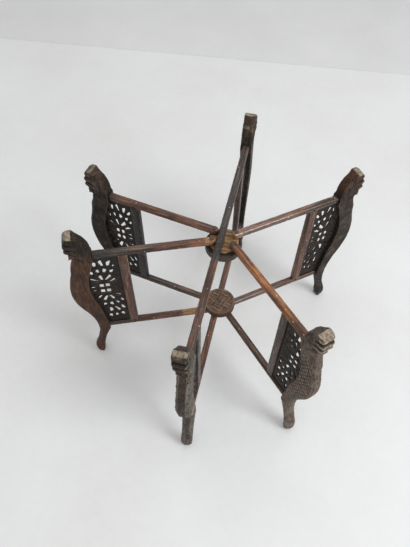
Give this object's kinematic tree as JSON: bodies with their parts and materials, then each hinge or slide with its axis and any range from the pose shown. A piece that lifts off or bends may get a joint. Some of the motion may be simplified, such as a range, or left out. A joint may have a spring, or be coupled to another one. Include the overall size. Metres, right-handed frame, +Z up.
{
  "type": "folding tray stand",
  "caption": "Folding wooden stand for a round tea tray: gates with pierced panels and animal-headed carved legs swing about pins at a round hub on a rigid centre frame.",
  "frame": {"origin": "on the floor, under the middle of the stand's box as it stands in the picture", "axes": "+Z up, +Y along the centre frame from the front leg to the back leg, +X to the right"},
  "size_m": [0.5792, 0.6464, 0.46],
  "materials": {
    "carved_wood": "carved, dark, worn",
    "panel_wood": "pierced, very dark",
    "rail_wood": "polished red-brown",
    "worn_rail_wood": "rubbed through to orange-brown",
    "raw_hub_wood": "bare tan top",
    "dark_hub_wood": "carved, dark",
    "peg_wood": "whittled",
    "pin_iron": "dull dark iron"
  },
  "bodies": {
    "centre_frame": {"leg_front": "carved_wood", "stile_front": "rail_wood", "panel_front": "panel_wood", "joint_pegs_front": "peg_wood", "leg_back": "carved_wood", "stile_back": "rail_wood", "panel_back": "panel_wood", "joint_pegs_back": "peg_wood", "top_bar": "rail_wood", "bottom_bar": "rail_wood", "upper_hub_disc": "raw_hub_wood", "lower_hub_disc": "dark_hub_wood", "upper_pivot_pins": "pin_iron", "lower_pivot_pins": "pin_iron", "hub_dowels": "peg_wood"},
    "gate_left_front": {"leg_left_front": "carved_wood", "stile_left_front": "rail_wood", "panel_left_front": "panel_wood", "joint_pegs_left_front": "peg_wood", "upper_rail_left_front": "rail_wood", "lower_rail_left_front": "rail_wood"},
    "gate_left_back": {"leg_left_back": "carved_wood", "stile_left_back": "rail_wood", "panel_left_back": "panel_wood", "joint_pegs_left_back": "peg_wood", "upper_rail_left_back": "rail_wood", "lower_rail_left_back": "rail_wood"},
    "gate_right_front": {"leg_right_front": "carved_wood", "stile_right_front": "rail_wood", "panel_right_front": "panel_wood", "joint_pegs_right_front": "peg_wood", "upper_rail_right_front": "worn_rail_wood", "lower_rail_right_front": "rail_wood"},
    "gate_right_back": {"leg_right_back": "carved_wood", "stile_right_back": "rail_wood", "panel_right_back": "panel_wood", "joint_pegs_right_back": "peg_wood", "upper_rail_right_back": "rail_wood", "lower_rail_right_back": "rail_wood"}
  },
  "joints": [
    {"name": "gate_left_front_swing", "type": "hinge", "parent": "centre_frame", "child": "gate_left_front", "pos_m": [0.00536, -0.0135, 0.393], "axis": [0, 0, 1], "range_deg": [-20.1, 63.9]},
    {"name": "gate_left_back_swing", "type": "hinge", "parent": "centre_frame", "child": "gate_left_back", "pos_m": [0.00536, 0.0135, 0.393], "axis": [0, 0, 1], "range_deg": [-76.9, 7.1]},
    {"name": "gate_right_front_swing", "type": "hinge", "parent": "centre_frame", "child": "gate_right_front", "pos_m": [0.04936, -0.0135, 0.393], "axis": [0, 0, 1], "range_deg": [-42.8, 43.2]},
    {"name": "gate_right_back_swing", "type": "hinge", "parent": "centre_frame", "child": "gate_right_back", "pos_m": [0.04936, 0.0135, 0.393], "axis": [0, 0, 1], "range_deg": [-35.7, 50.3]}
  ]
}
